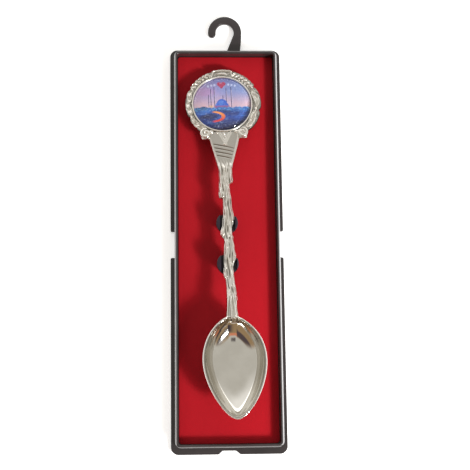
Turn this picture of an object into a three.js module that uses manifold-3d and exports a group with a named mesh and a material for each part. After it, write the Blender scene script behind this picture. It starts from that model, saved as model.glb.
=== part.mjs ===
// Souvenir spoon held by two clips in a shallow hanging tray.
// Millimetres. The tray lies on its back: +Z points out of its face, +Y towards its hook.
// The origin is on the tray's underside, in the middle of its rim.
import * as THREE from 'three';
import { mergeVertices } from 'three/addons/utils/BufferGeometryUtils.js';
import { LoftGeometry } from 'three/addons/geometries/LoftGeometry.js';
import Module from 'manifold-3d';

// Tray
const TRAY_WIDTH = 38.4;
const PLATE_HEAD_Y = 69.4;
const PLATE_FOOT_Y = -70;
const PLATE_THICKNESS = 1.2;
const PLATE_CORNER = 2.5;
const RIM_TOP = 5.5;
const RIM_WALL = 1.1;
const RIM_INSET_SIDE = 1.4;
const RIM_LENGTH = 135.6;
const RIM_CORNER = 2.0;
const RIM_ROUNDING = 0.4;
const SIDE_NOTCH_LENGTH = 9;
const END_NOTCH_WIDTH = 7.6;
const END_NOTCH_DEPTH = 1.2;
const END_NOTCH_RUN = 2.0;
const END_NOTCH_BEND = 1.1;

// Hanging hook, a flat J in the plane of the tray's plate
const HOOK_CENTRE_Y = 76.0;
const HOOK_OUTER = 5.9;
const HOOK_INNER = 3.15;
const HOOK_THICKNESS = 1.6;
const HOOK_TIP_Y = 75.55;
const HOOK_EDGE = 0.25;
const HOOK_ROOT_OVERLAP = 1.0;
const STEM_RIGHT_X = 5.3;
const STEM_LEFT_X = 0.6;

// Card insert
const CARD_THICKNESS = 1.0;
const CARD_GAP = 0.15;
const CLIP_HOLE_GAP = 0.3;

// Clips: a post that widens into a round head, with a slot along Y that leaves two curved jaws
const CLIPS = [
  { name: 'clip_upper', x: -0.2, y: 6.0, slot: [-2.55, 2.5], saddle: 6.9, top: 9.1 },
  { name: 'clip_lower', x: -0.13, y: -7.9, slot: [-2.35, 2.9], saddle: 7.55, top: 9.8 },
];
const CLIP_HEAD = 3.65;
const CLIP_FOOT = 2.5;
const CLIP_FOOT_HEIGHT = 1.6;
const CLIP_FLARE = 3.4;
const CLIP_ROUNDING = 0.3;
const CLIP_SEGMENTS = 40;

// Spoon: its axis leans a little to the left of the tray's
const SPOON_LEAN = THREE.MathUtils.degToRad(1.77);
const SPOON_X = 0.18;
const EDGE_THICKNESS = 1.0;
const EDGE_DROP = 0.3;

// Handle stations: [y, left side, right side], with the stubs of the branch as sudden steps
const HANDLE = [
  [37.6, -5.6, 5.85], [35.9, -5.1, 5.4], [33.0, -4.4, 4.65], [29.0, -3.4, 3.5], [26.5, -2.75, 2.75],
  [24.5, -2.3, 2.35], [22.5, -2.25, 2.35], [20.9, -2.3, 2.5], [19.9, -2.4, 2.3], [19.3, -2.4, 1.3],
  [16.4, -2.65, 1.25], [15.1, -2.65, 1.5], [14.2, -1.35, 1.6], [10.5, -1.4, 1.75], [8.9, -1.5, 2.15],
  [7.3, -1.8, 2.35], [5.8, -1.9, 2.0], [4.6, -2.1, 1.4], [2.2, -2.65, 1.4], [0.3, -1.5, 1.7],
  [-2.5, -1.6, 1.95], [-4.8, -1.8, 2.25], [-6.6, -2.0, 2.25], [-8.7, -2.1, 1.35], [-12.3, -2.2, 1.35],
  [-13.2, -1.6, 1.45], [-16.4, -1.4, 1.75], [-20.2, -1.6, 2.1], [-22.8, -1.7, 1.8], [-25.2, -1.95, 2.1],
];
// Height of the spoon's upper surface and its thickness along the spoon
const TOP_HEIGHT = [
  [-60, 12.6], [-30, 12.05], [-26, 11.8], [-20, 11.2], [-8, 10.3], [7, 9.6], [25, 8.9], [38, 8.2],
];
const THICKNESS = [[-26, 2.4], [-20, 2.3], [14, 2.4], [26, 2.1], [38, 1.9]];
const HANDLE_CROWN = 0.5;

// Bowl: egg-shaped outline from the shoulder to the pointed tip
const BOWL_X = 0.27;
const BOWL_TIP_LEAN = 0.2;
const BOWL_OUTLINE = [0.6, 0.7];
const BOWL_FLOOR = [0.7, 0.6];
const BOWL_NECK_HALF_WIDTH = 1.9;
const BOWL_NECK_FADE = 4;
const BOWL_SHOULDER_Y = -25.5;
const BOWL_TIP_Y = -59.0;
const BOWL_HALF_WIDTH = 10.65;
const BOWL_DEPTH = 6.3;
const BOWL_WALL = 0.9;
const BOWL_RIM_BAND = 0.9;
const BOWL_STEPS = 26;
const SECTION_TOP = [1, 0.9, 0.75, 0.5, 0.25, 0, -0.25, -0.5, -0.75, -0.9, -1];
const SECTION_UNDER = [-0.97, -0.9, -0.7, -0.4, 0, 0.4, 0.7, 0.9, 0.97];
const SECTION_EDGE = 0.97;

// Neck: slanted grooves across it, and a V of two bars above them
const GROOVE_Y = [32.4, 31.1, 29.8, 28.5];
const GROOVE_SLANT = THREE.MathUtils.degToRad(-13);
const GROOVE_SIZE = [0.35, 0.6];
const GROOVE_LENGTH = 8.5;
const GROOVE_TAPER = 0.7;
const CREST_CENTRE = [0.3, 35.1, 8.35];
const CREST_BAR = [0.55, 5, 0.7];
const CREST_SPREAD = 1.35;
const CREST_SLANT = 0.5;

// Medallion at the head: a round frame, tilted so that its far end dips
const HEAD_Y = 48.1;
const HEAD_Z = 6.7;
const HEAD_TILT = THREE.MathUtils.degToRad(-8);
const RECESS_RADIUS = 9.7;
const RECESS_DEPTH = 0.95;
const HEAD_BACK = -1.9;
// Ornament of the frame: [angles, radius of their centres, half sizes outwards, sideways and upwards, height]
const ORNAMENT = [
  { angles: [80, 90, 100], radius: 12.3, size: [1.0, 1.8, 0.6], height: -0.35 },
  { angles: [33, 40.5, 48, 55.5, 63, 70.5], radius: 12.1, size: [1.1, 0.75, 0.55], height: -0.35 },
  { angles: [109.5, 117, 124.5, 132, 139.5, 147], radius: 12.1, size: [1.1, 0.75, 0.55], height: -0.35 },
  { angles: [-38, -14, 12, 163, 190, 216], radius: 11.9, size: [1.2, 3.2, 0.55], height: -0.35 },
  { angles: [-61, -57, 237, 241], radius: 12.7, size: [1.3, 1.2, 0.8], height: -0.7 },
];
const FRAME_RADIUS = 12.7;
const PRINT_RADIUS = 9.55;
const PRINT_THICKNESS = 0.2;
const GLUE_GAP = 0.05;
const DOME_RISE = 1.6;
const DOME_EDGE = 0.3;
const DOME_STEPS = 6;
const ROUND_SEGMENTS = 48;

const wasm = await Module();
wasm.setup();

/** Welded positions only, with its faces pointing out. */
function weld(geometry) {
  const bare = new THREE.BufferGeometry();
  bare.setAttribute('position', geometry.getAttribute('position').clone());
  if (geometry.index) {
    bare.setIndex(geometry.index.clone());
  }
  const merged = mergeVertices(bare, 1e-5);
  const position = merged.getAttribute('position');
  const kept = [];
  const corner = [new THREE.Vector3(), new THREE.Vector3(), new THREE.Vector3()];
  let volume = 0;
  for (let i = 0; i < merged.index.count; i += 3) {
    const [a, b, c] = [0, 1, 2].map((k) => merged.index.getX(i + k));
    if (a === b || b === c || c === a) {
      continue;
    }
    [a, b, c].forEach((vertex, k) => corner[k].fromBufferAttribute(position, vertex));
    volume += corner[0].dot(corner[1].cross(corner[2])) / 6;
    kept.push(a, b, c);
  }
  merged.setIndex(volume < 0 ? kept.reverse() : kept);
  return merged;
}

function toSolid(geometry) {
  const welded = weld(geometry);
  return new wasm.Manifold(new wasm.Mesh({
    numProp: 3,
    vertProperties: new Float32Array(welded.getAttribute('position').array),
    triVerts: new Uint32Array(welded.index.array),
  }));
}

function toGeometry(solid) {
  const mesh = solid.getMesh();
  const geometry = new THREE.BufferGeometry();
  geometry.setAttribute('position', new THREE.BufferAttribute(new Float32Array(mesh.vertProperties), 3));
  geometry.setIndex(new THREE.BufferAttribute(new Uint32Array(mesh.triVerts), 1));
  return geometry;
}

function part(name, geometry, color, roughness, metalness = 0, opacity = 1) {
  const material = new THREE.MeshStandardMaterial({
    color, roughness, metalness, opacity, transparent: opacity < 1,
  });
  geometry.computeVertexNormals();
  const mesh = new THREE.Mesh(geometry, material);
  mesh.name = name;
  return mesh;
}

/** Linear interpolation in a list of [position, value] pairs with rising positions. */
function along(pairs, position) {
  const last = pairs.length - 1;
  if (position <= pairs[0][0]) {
    return pairs[0][1];
  }
  for (let i = 0; i < last; i += 1) {
    const [start, from] = pairs[i];
    const [end, to] = pairs[i + 1];
    if (position <= end) {
      return THREE.MathUtils.mapLinear(position, start, end, from, to);
    }
  }
  return pairs[last][1];
}

function roundedRect(width, length, radius) {
  const [x, y] = [width / 2 - radius, length / 2 - radius];
  const shape = new THREE.Shape();
  shape.absarc(x, y, radius, 0, Math.PI / 2);
  shape.absarc(-x, y, radius, Math.PI / 2, Math.PI);
  shape.absarc(-x, -y, radius, Math.PI, Math.PI * 1.5);
  shape.absarc(x, -y, radius, Math.PI * 1.5, Math.PI * 2);
  return shape;
}

function extrude(shape, bottom, top, rounding = 0) {
  const geometry = new THREE.ExtrudeGeometry(shape, {
    depth: top - bottom - 2 * rounding,
    bevelEnabled: rounding > 0,
    bevelThickness: rounding,
    bevelSize: rounding,
    bevelOffset: -rounding,
    bevelSegments: 2,
    curveSegments: 8,
  });
  return geometry.translate(0, 0, bottom + rounding);
}

function box(size, centre, turn = 0) {
  return new THREE.BoxGeometry(...size).rotateZ(turn).translate(...centre);
}

// ---- Tray ----

function hookShape() {
  const shape = new THREE.Shape();
  const tipRadius = (HOOK_OUTER - HOOK_INNER) / 2;
  const root = PLATE_HEAD_Y - HOOK_ROOT_OVERLAP;
  shape.moveTo(STEM_LEFT_X, root);
  shape.lineTo(STEM_RIGHT_X, root);
  shape.lineTo(HOOK_OUTER, HOOK_CENTRE_Y);
  shape.absarc(0, HOOK_CENTRE_Y, HOOK_OUTER, 0, Math.PI);
  shape.absarc(-HOOK_INNER - tipRadius, HOOK_TIP_Y, tipRadius, Math.PI, Math.PI * 2);
  shape.absarc(0, HOOK_CENTRE_Y, HOOK_INNER, Math.PI, 0, true);
  shape.lineTo(HOOK_INNER - 0.2, HOOK_CENTRE_Y - 1);
  return shape;
}

/** Shallow notch in the plate's foot, with an S-shaped run at each end. */
function endNotchShape() {
  const half = END_NOTCH_WIDTH / 2;
  const edge = PLATE_FOOT_Y;
  const floor = edge + END_NOTCH_DEPTH;
  const start = half - END_NOTCH_RUN;
  const bend = half - END_NOTCH_BEND;
  const shape = new THREE.Shape();
  shape.moveTo(-half - 1, edge - 1);
  shape.lineTo(half + 1, edge - 1);
  shape.lineTo(half, edge);
  shape.bezierCurveTo(bend, edge, bend, floor, start, floor);
  shape.lineTo(-start, floor);
  shape.bezierCurveTo(-bend, floor, -bend, edge, -half, edge);
  return shape;
}

function plateGeometry() {
  const length = PLATE_HEAD_Y - PLATE_FOOT_Y;
  const plate = extrude(roundedRect(TRAY_WIDTH, length, PLATE_CORNER), 0, PLATE_THICKNESS);
  return plate.translate(0, (PLATE_HEAD_Y + PLATE_FOOT_Y) / 2, 0);
}

function trayGeometry() {
  const rimWidth = TRAY_WIDTH - 2 * RIM_INSET_SIDE;
  const rim = roundedRect(rimWidth, RIM_LENGTH, RIM_CORNER);
  rim.holes.push(roundedRect(rimWidth - 2 * RIM_WALL, RIM_LENGTH - 2 * RIM_WALL, RIM_CORNER - RIM_WALL));
  let tray = toSolid(plateGeometry());
  tray = tray.subtract(toSolid(extrude(endNotchShape(), -1, PLATE_THICKNESS + 1)));
  for (const side of [-1, 1]) {
    const notch = box([2 * RIM_INSET_SIDE, SIDE_NOTCH_LENGTH, 4], [side * TRAY_WIDTH / 2, 0, 0]);
    tray = tray.subtract(toSolid(notch));
  }
  tray = tray.add(toSolid(extrude(rim, PLATE_THICKNESS - 2 * RIM_ROUNDING, RIM_TOP, RIM_ROUNDING)));
  tray = tray.add(toSolid(extrude(hookShape(), 0, HOOK_THICKNESS, HOOK_EDGE)));
  return toGeometry(tray);
}

function cardGeometry() {
  const width = TRAY_WIDTH - 2 * (RIM_INSET_SIDE + RIM_WALL + CARD_GAP);
  const length = RIM_LENGTH - 2 * (RIM_WALL + CARD_GAP);
  const card = roundedRect(width, length, 1);
  for (const clip of CLIPS) {
    const hole = new THREE.Path();
    hole.absarc(clip.x, clip.y, CLIP_FOOT + CLIP_HOLE_GAP, 0, Math.PI * 2);
    card.holes.push(hole);
  }
  return extrude(card, PLATE_THICKNESS, PLATE_THICKNESS + CARD_THICKNESS);
}

// ---- Clips ----

function clipGeometry({ x, y, slot, saddle, top }) {
  const profile = [
    [0, PLATE_THICKNESS],
    [CLIP_FOOT, PLATE_THICKNESS],
    [CLIP_FOOT, PLATE_THICKNESS + CLIP_FOOT_HEIGHT],
    [CLIP_HEAD, PLATE_THICKNESS + CLIP_FOOT_HEIGHT + CLIP_FLARE],
    [CLIP_HEAD, top - CLIP_ROUNDING],
    [CLIP_HEAD - CLIP_ROUNDING, top],
    [0, top],
  ];
  const post = new THREE.LatheGeometry(profile.map(([r, z]) => new THREE.Vector2(r, z)), CLIP_SEGMENTS);
  post.rotateX(Math.PI / 2).translate(x, y, 0);
  const depth = top - saddle;
  const [left, right] = slot;
  const groove = box([right - left, 3 * CLIP_HEAD, 2 * depth], [(left + right) / 2, y, saddle + depth]);
  return toGeometry(toSolid(post).subtract(toSolid(groove)));
}

// ---- Spoon ----

/** Egg curve: 0 at both ends, 1 at its widest, which is nearer the end with the smaller power. */
function egg(t, startPower, endPower) {
  const peak = startPower / (startPower + endPower);
  return (t / peak) ** startPower * ((1 - t) / (1 - peak)) ** endPower;
}

function handleStation([y, left, right]) {
  return {
    y, left, right, top: along(TOP_HEIGHT, y), depth: along(THICKNESS, y), crown: HANDLE_CROWN, cavity: 0,
  };
}

function bowlStation(t) {
  const y = THREE.MathUtils.lerp(BOWL_SHOULDER_Y, BOWL_TIP_Y, t);
  const centre = BOWL_X * Math.min(1, 4 * t) + BOWL_TIP_LEAN * THREE.MathUtils.smoothstep(t, 0.4, 0.9);
  const neckHalf = BOWL_NECK_HALF_WIDTH * (1 - t) ** BOWL_NECK_FADE;
  const half = Math.hypot(BOWL_HALF_WIDTH * egg(t, ...BOWL_OUTLINE), neckHalf);
  const hollow = BOWL_DEPTH * egg(t, ...BOWL_FLOOR);
  const neckDepth = along(THICKNESS, y) * (1 - t) ** 3;
  return {
    y,
    left: centre - half,
    right: centre + half,
    top: along(TOP_HEIGHT, y),
    depth: Math.max(EDGE_THICKNESS + 0.1, Math.hypot(hollow, neckDepth)),
    crown: HANDLE_CROWN * (1 - t) ** 30,
    cavity: Math.max(0, hollow - BOWL_WALL) * THREE.MathUtils.smoothstep(t, 0.03, 0.25),
  };
}

/** One cross-section: over the top from the right side to the left, and back underneath. */
function sectionPoints({ y, left, right, top, depth, crown, cavity }) {
  const centre = (left + right) / 2;
  const half = (right - left) / 2;
  const band = Math.min(0.6, BOWL_RIM_BAND / half);
  const inner = SECTION_TOP.map((s) => s * (1 - band));
  const edge = top - crown - EDGE_DROP;
  const points = [new THREE.Vector3(right, y, edge)];
  for (const s of [SECTION_EDGE, ...inner, -SECTION_EDGE]) {
    const hollow = cavity * Math.max(0, 1 - (s / (1 - band)) ** 2) ** 0.8;
    points.push(new THREE.Vector3(centre + s * half, y, top - crown * s * s - hollow));
  }
  points.push(new THREE.Vector3(left, y, edge));
  for (const s of SECTION_UNDER) {
    const bulge = (depth - EDGE_THICKNESS) * (1 - s * s) ** 0.6;
    points.push(new THREE.Vector3(centre + s * half, y, top - EDGE_THICKNESS - bulge));
  }
  return points;
}

function shankGeometry() {
  const stations = HANDLE.map(handleStation);
  for (let i = 1; i < BOWL_STEPS; i += 1) {
    stations.push(bowlStation(0.5 - 0.5 * Math.cos(Math.PI * (i / BOWL_STEPS) ** 0.9)));
  }
  return new LoftGeometry(stations.map(sectionPoints), { capStart: true, capEnd: true });
}

/** Ellipsoid on the medallion's frame. */
function lobe(degrees, { radius, size, height }) {
  const angle = THREE.MathUtils.degToRad(degrees);
  const shape = weld(new THREE.SphereGeometry(1, 8, 6)).scale(...size).rotateZ(angle);
  return shape.translate(radius * Math.cos(angle), radius * Math.sin(angle), height);
}

/** Turned frame of the medallion and the lobes on it, in the head's own plane. */
function headGeometries() {
  const profile = [
    [0, HEAD_BACK], [FRAME_RADIUS - 0.5, HEAD_BACK], [FRAME_RADIUS, HEAD_BACK + 0.4],
    [FRAME_RADIUS, -0.5], [FRAME_RADIUS - 0.4, -0.2], [11.2, -0.15],
    [10.8, -0.5], [10.45, -0.5], [10.25, 0.05], [10.0, 0.15], [RECESS_RADIUS, 0.05],
    [RECESS_RADIUS, -RECESS_DEPTH], [0, -RECESS_DEPTH],
  ];
  const frame = new THREE.LatheGeometry(profile.map(([r, z]) => new THREE.Vector2(r, z)), ROUND_SEGMENTS);
  const pieces = [weld(frame.rotateX(Math.PI / 2))];
  for (const row of ORNAMENT) {
    pieces.push(...row.angles.map((degrees) => lobe(degrees, row)));
  }
  return pieces;
}

function neckGrooves() {
  const [width, depth] = GROOVE_SIZE;
  return GROOVE_Y.map((y) => {
    const length = GROOVE_LENGTH - (GROOVE_Y[0] - y) * GROOVE_TAPER;
    return box([length, width, depth], [-0.3, y, along(TOP_HEIGHT, y)], GROOVE_SLANT);
  });
}

function neckCrest() {
  const [x, y, z] = CREST_CENTRE;
  return [-1, 1].map((side) => box(CREST_BAR, [x + side * CREST_SPREAD, y, z], -side * CREST_SLANT));
}

function spoonGeometry() {
  const place = new THREE.Matrix4().makeRotationX(HEAD_TILT).setPosition(0, HEAD_Y, HEAD_Z);
  let spoon = toSolid(shankGeometry());
  for (const bar of neckCrest()) {
    spoon = spoon.add(toSolid(bar));
  }
  const cylinder = new THREE.CylinderGeometry(RECESS_RADIUS, RECESS_RADIUS, 4, ROUND_SEGMENTS);
  const well = weld(cylinder.rotateX(Math.PI / 2)).translate(0, 0, 2 - RECESS_DEPTH);
  for (const groove of neckGrooves()) {
    spoon = spoon.subtract(toSolid(groove));
  }
  for (const piece of headGeometries()) {
    spoon = spoon.add(toSolid(piece.applyMatrix4(place)));
  }
  return toGeometry(spoon.subtract(toSolid(well.applyMatrix4(place))));
}

// ---- Picture and its clear dome ----

function printGeometry() {
  const print = new THREE.CylinderGeometry(PRINT_RADIUS, PRINT_RADIUS, PRINT_THICKNESS, ROUND_SEGMENTS);
  return print.rotateX(Math.PI / 2).translate(0, 0, -RECESS_DEPTH + GLUE_GAP + PRINT_THICKNESS / 2);
}

function domeGeometry() {
  const base = -RECESS_DEPTH + 2 * GLUE_GAP + PRINT_THICKNESS;
  const profile = [new THREE.Vector2(0, base), new THREE.Vector2(PRINT_RADIUS, base)];
  for (let i = 0; i <= DOME_STEPS; i += 1) {
    const radius = PRINT_RADIUS * Math.cos((Math.PI / 2) * (i / DOME_STEPS));
    const swell = (DOME_RISE - DOME_EDGE) * (1 - (radius / PRINT_RADIUS) ** 3);
    profile.push(new THREE.Vector2(radius, base + DOME_EDGE + swell));
  }
  profile[profile.length - 1].x = 0;
  return new THREE.LatheGeometry(profile, ROUND_SEGMENTS).rotateX(Math.PI / 2);
}

const group = new THREE.Group();
group.add(part('tray', trayGeometry(), 0x2b2728, 0.45));
group.add(part('insert_card', weld(cardGeometry()), 0xa81626, 0.95));
for (const clip of CLIPS) {
  group.add(part(clip.name, clipGeometry(clip), 0x242122, 0.45));
}

const spoonGroup = new THREE.Group();
spoonGroup.position.x = SPOON_X;
spoonGroup.rotation.z = SPOON_LEAN;
spoonGroup.add(part('spoon', spoonGeometry(), 0xb9b3a4, 0.3, 1));
group.add(spoonGroup);

const headGroup = new THREE.Group();
headGroup.position.set(0, HEAD_Y, HEAD_Z);
headGroup.rotation.x = HEAD_TILT;
headGroup.add(part('picture_print', weld(printGeometry()), 0x5a6fae, 0.5));
headGroup.add(part('resin_dome', weld(domeGeometry()), 0xe8ecf4, 0.05, 0, 0.35));
spoonGroup.add(headGroup);

export default group;
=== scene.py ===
"""Souvenir spoon in a hanging tray: the looks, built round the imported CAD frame.

Shapes are worked out in millimetres in the frame's own axes (+Z out of the tray, +Y towards the hook)
and scaled to metres when a mesh is made.
"""

import math

import bmesh
import bpy
import numpy as np
from mathutils import Euler, Matrix, Vector


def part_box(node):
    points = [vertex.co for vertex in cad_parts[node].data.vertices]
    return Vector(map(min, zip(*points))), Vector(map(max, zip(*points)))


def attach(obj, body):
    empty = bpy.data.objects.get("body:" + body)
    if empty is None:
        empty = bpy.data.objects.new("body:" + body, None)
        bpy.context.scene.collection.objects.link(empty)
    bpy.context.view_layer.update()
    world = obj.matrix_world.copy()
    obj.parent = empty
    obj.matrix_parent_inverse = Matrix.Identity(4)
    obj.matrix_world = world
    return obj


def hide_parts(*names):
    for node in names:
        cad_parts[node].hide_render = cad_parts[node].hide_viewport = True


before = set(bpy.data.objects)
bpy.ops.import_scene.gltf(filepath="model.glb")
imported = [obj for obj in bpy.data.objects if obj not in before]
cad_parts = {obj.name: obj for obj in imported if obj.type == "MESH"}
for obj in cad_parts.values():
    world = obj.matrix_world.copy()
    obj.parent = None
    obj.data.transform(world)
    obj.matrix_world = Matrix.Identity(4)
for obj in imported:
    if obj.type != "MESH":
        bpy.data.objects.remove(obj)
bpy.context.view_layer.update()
MM = 0.001
TAU = 2 * math.pi


# ---- places taken from the frame

def node_box(node):
    """Lowest and highest corner of a CAD node, in millimetres."""
    low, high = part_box(node)
    return np.array(low) / MM, np.array(high) / MM


TRAY_LOW, TRAY_HIGH = node_box("tray")
CARD_LOW, CARD_HIGH = node_box("insert_card")
PLATE_WIDTH = TRAY_HIGH[0] - TRAY_LOW[0]
PLATE_FOOT = TRAY_LOW[1]
PLATE_HEAD = 69.4
PLATE_TOP = CARD_LOW[2]
RIM_TOP = TRAY_HIGH[2]
CARD_TOP = CARD_HIGH[2]

# Tray
PLATE_CORNER = 2.5
RIM_INSET_SIDE = 1.4
RIM_LENGTH = 135.6
RIM_WALL = 1.1
RIM_CORNER = 2.0
RIM_ROOT = 0.3
SIDE_NOTCH = 9.0
NOTCH_ROUNDING = 0.5
END_NOTCH = 7.6
END_NOTCH_DEPTH = 1.2
END_NOTCH_RUN = 1.8
HOOK_OUTER = 5.9
HOOK_INNER = 3.15
HOOK_CENTRE = 76.0
HOOK_TIP = 75.55
HOOK_THICKNESS = 1.6
CARD_CORNER = 1.0
CARD_ROUNDING = 0.2
CLIP_FOOT = 2.5
CLIP_HOLE_GAP = 0.25
CLIP_LIP = 0.5
HOLE_SIDES = 48

# Spoon placing: a slight lean about Z, and a head that dips at its far end
SPOON_TURN = Matrix.Translation((0.18, 0, 0)) @ Matrix.Rotation(math.radians(1.77), 4, "Z")
HEAD_CENTRE = (0, 48.1, 6.7)
HEAD_PLACE = SPOON_TURN @ Matrix.Translation(HEAD_CENTRE) @ Matrix.Rotation(math.radians(-8), 4, "X")


# ---- mesh helpers

def to_metres(matrix):
    """The same placing with its shift in metres."""
    placed = matrix.copy()
    placed.translation = matrix.translation * MM
    return placed


def make_piece(name, points, faces, material, place=None, smooth_angle=40):
    mesh = bpy.data.meshes.new(name)
    mesh.from_pydata((np.asarray(points, float) * MM).tolist(), [], faces)
    mesh.update()
    shape = bmesh.new()
    shape.from_mesh(mesh)
    bmesh.ops.recalc_face_normals(shape, faces=shape.faces)
    shape.to_mesh(mesh)
    shape.free()
    mesh.polygons.foreach_set("use_smooth", [True] * len(mesh.polygons))
    mesh.set_sharp_from_angle(angle=math.radians(smooth_angle))
    mesh.materials.append(material)
    piece = bpy.data.objects.new(name, mesh)
    bpy.context.scene.collection.objects.link(piece)
    if place is not None:
        piece.matrix_world = to_metres(place)
    return piece


def grid_faces(rows, columns, wrap_rows=False, wrap_columns=True):
    faces = []
    for i in range(rows if wrap_rows else rows - 1):
        j_next = (i + 1) % rows
        for j in range(columns if wrap_columns else columns - 1):
            k = (j + 1) % columns
            faces.append((i * columns + j, i * columns + k, j_next * columns + k, j_next * columns + j))
    return faces


def loft(sections):
    """Closed skin through rings of equal length, with flat end caps."""
    rows = len(sections)
    columns = len(sections[0])
    faces = grid_faces(rows, columns)
    faces.append(tuple(range(columns)))
    faces.append(tuple(range((rows - 1) * columns, rows * columns)))
    return np.concatenate(sections), faces


def arc(centre, radius, start, end, steps):
    angles = np.radians(np.linspace(start, end, steps + 1))
    return [(centre[0] + radius * math.cos(a), centre[1] + radius * math.sin(a)) for a in angles]


def rounded_rect(width, length, corner, steps=10):
    x, y = width / 2 - corner, length / 2 - corner
    outline = []
    for cx, cy, start in ((x, y, 0), (-x, y, 90), (-x, -y, 180), (x, -y, 270)):
        outline += arc((cx, cy), corner, start, start + 90, steps)
    return outline


def inset(outline, distance):
    """The outline moved inwards along its corner bisectors; it runs counterclockwise."""
    points = np.array(outline)
    ahead = np.roll(points, -1, axis=0) - points
    ahead /= np.linalg.norm(ahead, axis=1)[:, None]
    behind = np.roll(ahead, 1, axis=0)
    normal = np.stack([-(ahead + behind)[:, 1], (ahead + behind)[:, 0]], axis=1)
    normal /= np.linalg.norm(normal, axis=1)[:, None]
    square = np.sum(normal * np.stack([-ahead[:, 1], ahead[:, 0]], axis=1), axis=1)
    return points + normal * (distance / np.maximum(square, 0.35))[:, None]


def rounded_slab(outline, bottom, top, radius, steps=4):
    """Prism over an outline with its upper and lower edges rounded."""
    rings = []
    for turn in np.linspace(0, math.pi / 2, steps + 1):
        rings.append((radius * (1 - math.sin(turn)), bottom + radius * (1 - math.cos(turn))))
    for turn in np.linspace(0, math.pi / 2, steps + 1):
        rings.append((radius * (1 - math.cos(turn)), top - radius * (1 - math.sin(turn))))
    sections = []
    for shift, z in rings:
        flat = inset(outline, shift)
        sections.append(np.column_stack([flat, np.full(len(flat), z)]))
    return loft(sections)


def sweep_ring(outline, profile):
    """Closed band: profile points are (distance inwards, height) round a closed outline."""
    columns = []
    for distance, z in profile:
        flat = inset(outline, distance)
        columns.append(np.column_stack([flat, np.full(len(flat), z)]))
    stacked = np.stack(columns, axis=1).reshape(-1, 3)
    return stacked, grid_faces(len(outline), len(profile), wrap_rows=True)


def join_solid(target, tool, operation="UNION"):
    """Exact boolean of two pieces, applied; the tool is removed."""
    modifier = target.modifiers.new("join", "BOOLEAN")
    modifier.operation = operation
    modifier.solver = "EXACT"
    modifier.object = tool
    graph = bpy.context.evaluated_depsgraph_get()
    joined = bpy.data.meshes.new_from_object(target.evaluated_get(graph))
    target.modifiers.clear()
    target.data = joined
    bpy.data.objects.remove(tool)
    joined.polygons.foreach_set("use_smooth", [True] * len(joined.polygons))
    joined.set_sharp_from_angle(angle=math.radians(35))
    return target


def place_on(piece, body, slot, *nodes):
    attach(piece, body)
    if nodes:
        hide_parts(*nodes)
    return piece


# ---- material helpers

class Field:
    """A shader value with arithmetic, so that a pattern reads as a formula."""

    def __init__(self, tree, socket):
        self.tree = tree
        self.socket = socket

    def math(self, operation, *others):
        node = self.tree.nodes.new("ShaderNodeMath")
        node.operation = operation
        for slot, value in zip(node.inputs, (self, *others)):
            if isinstance(value, Field):
                self.tree.links.new(value.socket, slot)
            else:
                slot.default_value = value
        return Field(self.tree, node.outputs[0])

    def __add__(self, other):
        return self.math("ADD", other)

    def __sub__(self, other):
        return self.math("SUBTRACT", other)

    def __mul__(self, other):
        return self.math("MULTIPLY", other)

    def __truediv__(self, other):
        return self.math("DIVIDE", other)

    def __pow__(self, other):
        return self.math("POWER", other)

    def abs(self):
        return self.math("ABSOLUTE")

    def upper(self, other):
        return self.math("MAXIMUM", other)

    def ramp(self, start, end):
        """0 at start, 1 at end, smooth between; start may be the larger."""
        node = self.tree.nodes.new("ShaderNodeMapRange")
        node.interpolation_type = "SMOOTHSTEP"
        low, high = min(start, end), max(start, end)
        self.tree.links.new(self.socket, node.inputs["Value"])
        node.inputs["From Min"].default_value = low
        node.inputs["From Max"].default_value = high
        node.inputs["To Min"].default_value = 0.0 if end > start else 1.0
        node.inputs["To Max"].default_value = 1.0 if end > start else 0.0
        return Field(self.tree, node.outputs[0])


def mix_colours(tree, amount, first, second):
    """Colour mix: each colour is an RGB triple or the socket of another mix."""
    node = tree.nodes.new("ShaderNodeMix")
    node.data_type = "RGBA"
    tree.links.new(amount.socket, node.inputs["Factor"])
    for slot, value in ((node.inputs[6], first), (node.inputs[7], second)):
        if isinstance(value, bpy.types.NodeSocket):
            tree.links.new(value, slot)
        else:
            slot.default_value = (*value, 1)
    return node.outputs[2]


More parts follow.
